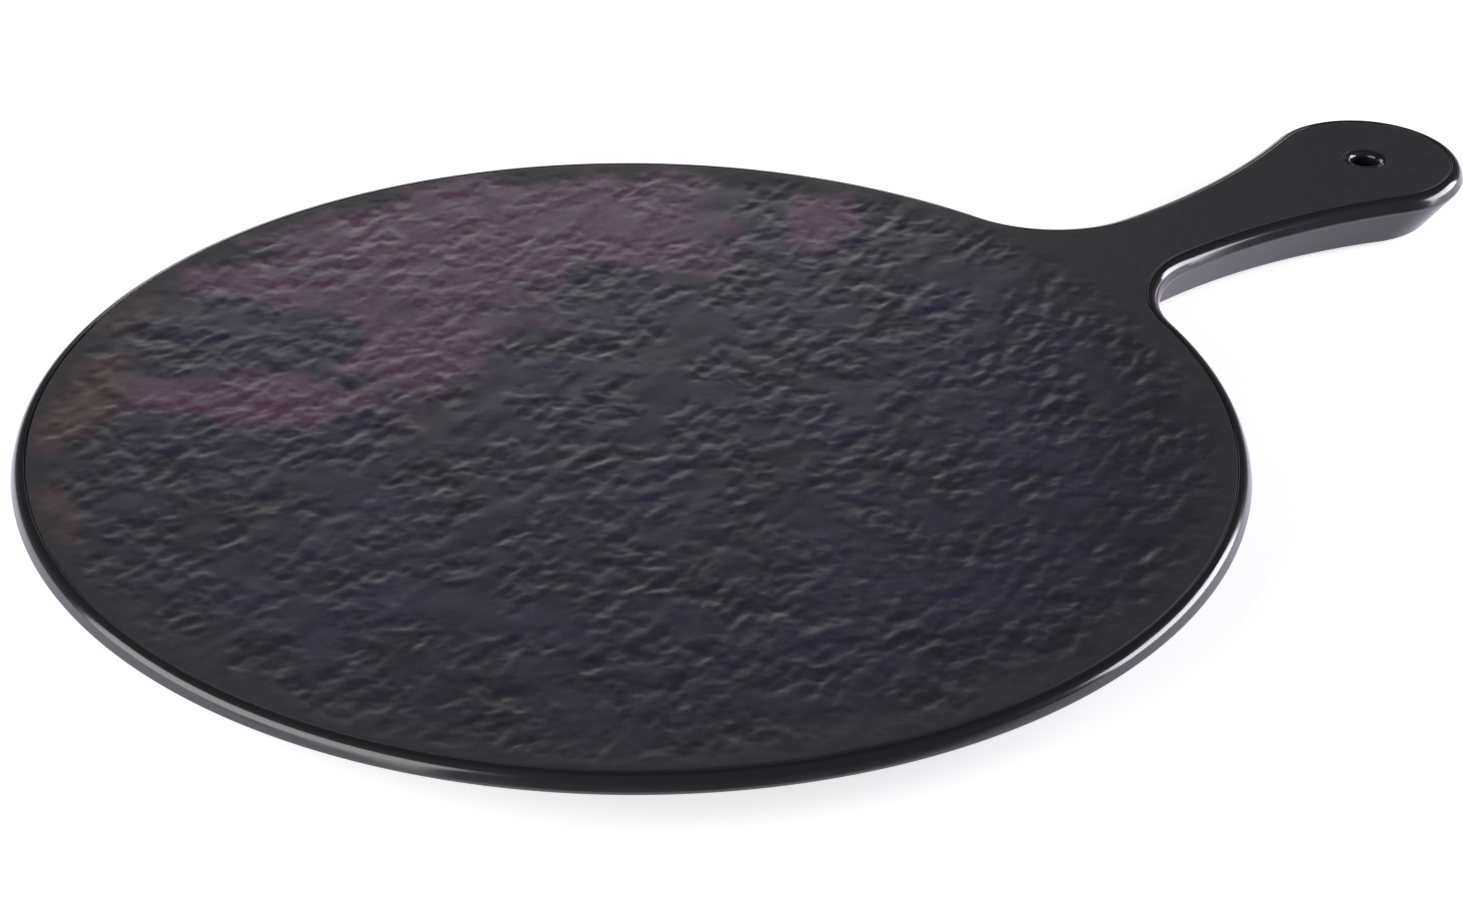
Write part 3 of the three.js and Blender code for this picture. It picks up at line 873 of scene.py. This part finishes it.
def slate_melamine(plan, colours):
    """Slate-look melamine pressed against a riven plate: satin blue-grey stone with fine mineral specks, purple
    in one quarter of the disc, a few rust-brown spots at its edge, and a plain, duller border and handle."""
    material, tree = new_material("Slate-look melamine, pressed riven")
    where = add(tree, "ShaderNodeTexCoord").outputs["Object"]
    ragged = noise(tree, where, 1 / (26 * MM), 4, roughness=0.6)[0]
    ragged = mapped(tree, ragged, target=(-PATCH_WANDER, PATCH_WANDER))
    blue, mauve, russet = (
        patch_mask(tree, where, ragged, plan, patches)
        for patches in (BLUE_PATCHES, MAUVE_PATCHES, RUSSET_PATCHES))
    tint = mapped(tree, noise(tree, where, 1 / (18 * MM), 3)[0], (0.35, 0.65))
    tint = reckon(tree, "MAXIMUM", tint, blue)

    radius = plan.disc_diameter / 2
    out = vector(tree, "DISTANCE", where, (*disc_centre(plan), 0), result="Value")
    out = reckon(tree, "MULTIPLY_ADD", ragged, BORDER_WANDER, out)
    worn, plain = (
        eased(tree, out, (radius - width, radius - BORDER_END), (0, BORDER_STRENGTH)) for width in BORDER_WIDTHS)
    shade = blend(tree, tint, colours.slate_grey, colours.slate_blue)
    for mask, tone in ((worn, colours.border), (mauve, colours.mauve), (russet, colours.russet),
                       (plain, colours.border)):
        shade = blend(tree, mask, shade, tone)

    speck = noise(tree, where, 1 / (1.6 * MM), 3)[0]
    light = mapped(tree, speck, (0.3, 0.7), (0.8, 1.2))
    shade = blend(tree, 1.0, shade, light, blend_type="MULTIPLY")
    satin = mapped(tree, tint, target=(0.35, 0.4))
    satin = reckon(tree, "MULTIPLY_ADD", plain, BORDER_ROUGHNESS, satin)
    grit = add(tree, "ShaderNodeBump", {"Height": speck, "Strength": 0.3, "Distance": 0.08 * MM}).outputs[0]
    surface = add(tree, "ShaderNodeBsdfPrincipled", {
        "Base Color": shade, "Roughness": satin, "IOR": 1.5, "Normal": grit}).outputs[0]
    add(tree, "ShaderNodeOutputMaterial", {"Surface": surface})
    return material


def silicone(colours):
    """Moulded silicone: soft dull black with a faint dusty bloom."""
    material, tree = new_material("Silicone, moulded dull")
    where = add(tree, "ShaderNodeTexCoord").outputs["Object"]
    dull = mapped(tree, noise(tree, where, 1 / (2 * MM), 3)[0], target=(0.6, 0.85))
    surface = add(tree, "ShaderNodeBsdfPrincipled", {
        "Base Color": (*colours.silicone, 1), "Roughness": dull, "IOR": 1.41, "Sheen Weight": 0.15}).outputs[0]
    add(tree, "ShaderNodeOutputMaterial", {"Surface": surface})
    return material


# Stage

def pale_floor(studio):
    """Matt white floor: it keeps the object's shadow, and a lift makes it white to the eye and in gloss."""
    material, tree = new_material("Pale floor, matt")
    ray = add(tree, "ShaderNodeLightPath").outputs
    seen = reckon(tree, "MAXIMUM", ray["Is Camera Ray"], ray["Is Transmission Ray"])
    lift = reckon(tree, "MULTIPLY", seen, studio.floor_lift)
    lift = blend(tree, ray["Is Glossy Ray"], lift, studio.floor_gleam)
    matt = add(tree, "ShaderNodeBsdfDiffuse", {"Color": (*studio.floor_colour, 1)}).outputs[0]
    glow = add(tree, "ShaderNodeEmission", {"Color": lift}).outputs[0]
    both = add(tree, "ShaderNodeAddShader", {0: matt, 1: glow}).outputs[0]
    add(tree, "ShaderNodeOutputMaterial", {"Surface": both})
    return material


def softbox(name, azimuth, elevation, distance, width, height, radiance, tint):
    """A rectangular lamp that faces the platter; azimuth 0 stands at -Y and 90 at +X."""
    data = bpy.data.lights.new(name, "AREA")
    data.color = linear(tint)
    data.shape = "RECTANGLE"
    data.size, data.size_y = width, height
    data.energy = radiance * math.pi * width * height
    turn, rise = math.radians(azimuth), math.radians(elevation)
    back = Vector((math.sin(turn) * math.cos(rise), -math.cos(turn) * math.cos(rise), math.sin(rise)))
    lamp = bpy.data.objects.new(name, data)
    lamp.location = back * distance
    lamp.rotation_mode = "QUATERNION"
    lamp.rotation_quaternion = back.to_track_quat("Z", "Y")
    bpy.context.scene.collection.objects.link(lamp)


class PLATTER_OT_stage(bpy.types.Operator):
    """Makes the pale floor, the light and the camera"""

    bl_idname = "platter.stage"
    bl_label = "Make the studio"

    def execute(self, context):
        scene, studio = context.scene, context.scene.platter_studio
        scene.view_settings.view_transform = "Standard"
        self.make_floor(studio)
        self.make_world(scene, studio)
        for lamp in SOFTBOXES:
            softbox(*lamp)
        self.make_camera(scene, studio)
        return {"FINISHED"}

    def make_floor(self, studio):
        builder = bmesh.new()
        bmesh.ops.create_grid(builder, x_segments=1, y_segments=1, size=studio.floor_width / 2)
        floor = made_object("floor", builder)
        floor.data.materials.append(pale_floor(studio))

    def make_world(self, scene, studio):
        scene.world = bpy.data.worlds.new("Studio")
        scene.world.use_nodes = True
        tree = scene.world.node_tree
        tree.nodes.clear()
        way = add(tree, "ShaderNodeTexCoord").outputs["Generated"]
        up = add(tree, "ShaderNodeSeparateXYZ", {0: way}).outputs[2]
        high = eased(tree, up, [math.sin(angle) for angle in BACKDROP_EDGE])
        behind = (Vector(studio.camera_aim) - Vector(studio.camera_place)) * Vector((1, 1, 0))
        ahead = vector(tree, "DOT_PRODUCT", way, behind.normalized(), result="Value")
        near = eased(tree, ahead, FRONT_EDGE)
        shade = blend(tree, high, studio.backdrop_colour, studio.room_colour)
        shade = blend(tree, near, shade, studio.front_colour)
        light = add(tree, "ShaderNodeBackground", {"Color": shade}).outputs[0]
        add(tree, "ShaderNodeOutputWorld", {"Surface": light})

    def make_camera(self, scene, studio):
        data = bpy.data.cameras.new("camera")
        data.lens = studio.camera_lens
        data.sensor_fit = "HORIZONTAL"
        data.sensor_width = 36
        camera = bpy.data.objects.new("camera", data)
        away = Vector(studio.camera_aim) - Vector(studio.camera_place)
        camera.rotation_mode = "QUATERNION"
        level = away.to_track_quat("-Z", "Y")
        camera.rotation_quaternion = level @ Matrix.Rotation(studio.camera_roll, 3, "Z").to_quaternion()
        camera.location = studio.camera_place
        scene.collection.objects.link(camera)
        scene.camera = camera


class PLATTER_PT_panel(bpy.types.Panel):
    """Sizes, colours and makers of the platter"""

    bl_idname = "PLATTER_PT_panel"
    bl_label = "Slate-look Platter"
    bl_space_type = "VIEW_3D"
    bl_region_type = "UI"
    bl_category = "Platter"

    def draw(self, context):
        for name in SETTINGS:
            box = self.layout.box()
            group = getattr(context.scene, name)
            box.label(text=name.replace("_", " ").capitalize())
            for item in group.bl_rna.properties:
                if not item.is_readonly and item.identifier != "name":
                    box.prop(group, item.identifier)
        for maker in MAKERS:
            self.layout.operator(maker.bl_idname)


SETTINGS = {
    "platter_plan": PlatterPlan,
    "platter_section": PlatterSection,
    "platter_relief": SlateRelief,
    "platter_colours": PlatterColours,
    "platter_studio": PlatterStudio,
}
MAKERS = (PLATTER_OT_board, PLATTER_OT_slate_face, PLATTER_OT_feet, PLATTER_OT_stage)


def register():
    for kind in (*SETTINGS.values(), *MAKERS, PLATTER_PT_panel):
        bpy.utils.register_class(kind)
    for name, kind in SETTINGS.items():
        setattr(bpy.types.Scene, name, PointerProperty(type=kind))


def unregister():
    for name in SETTINGS:
        delattr(bpy.types.Scene, name)
    for kind in (PLATTER_PT_panel, *MAKERS, *SETTINGS.values()):
        bpy.utils.unregister_class(kind)


def main():
    register()
    bpy.ops.platter.board()
    bpy.ops.platter.slate_face()
    bpy.ops.platter.feet()
    bpy.ops.platter.stage()


if __name__ == "__main__":
    main()
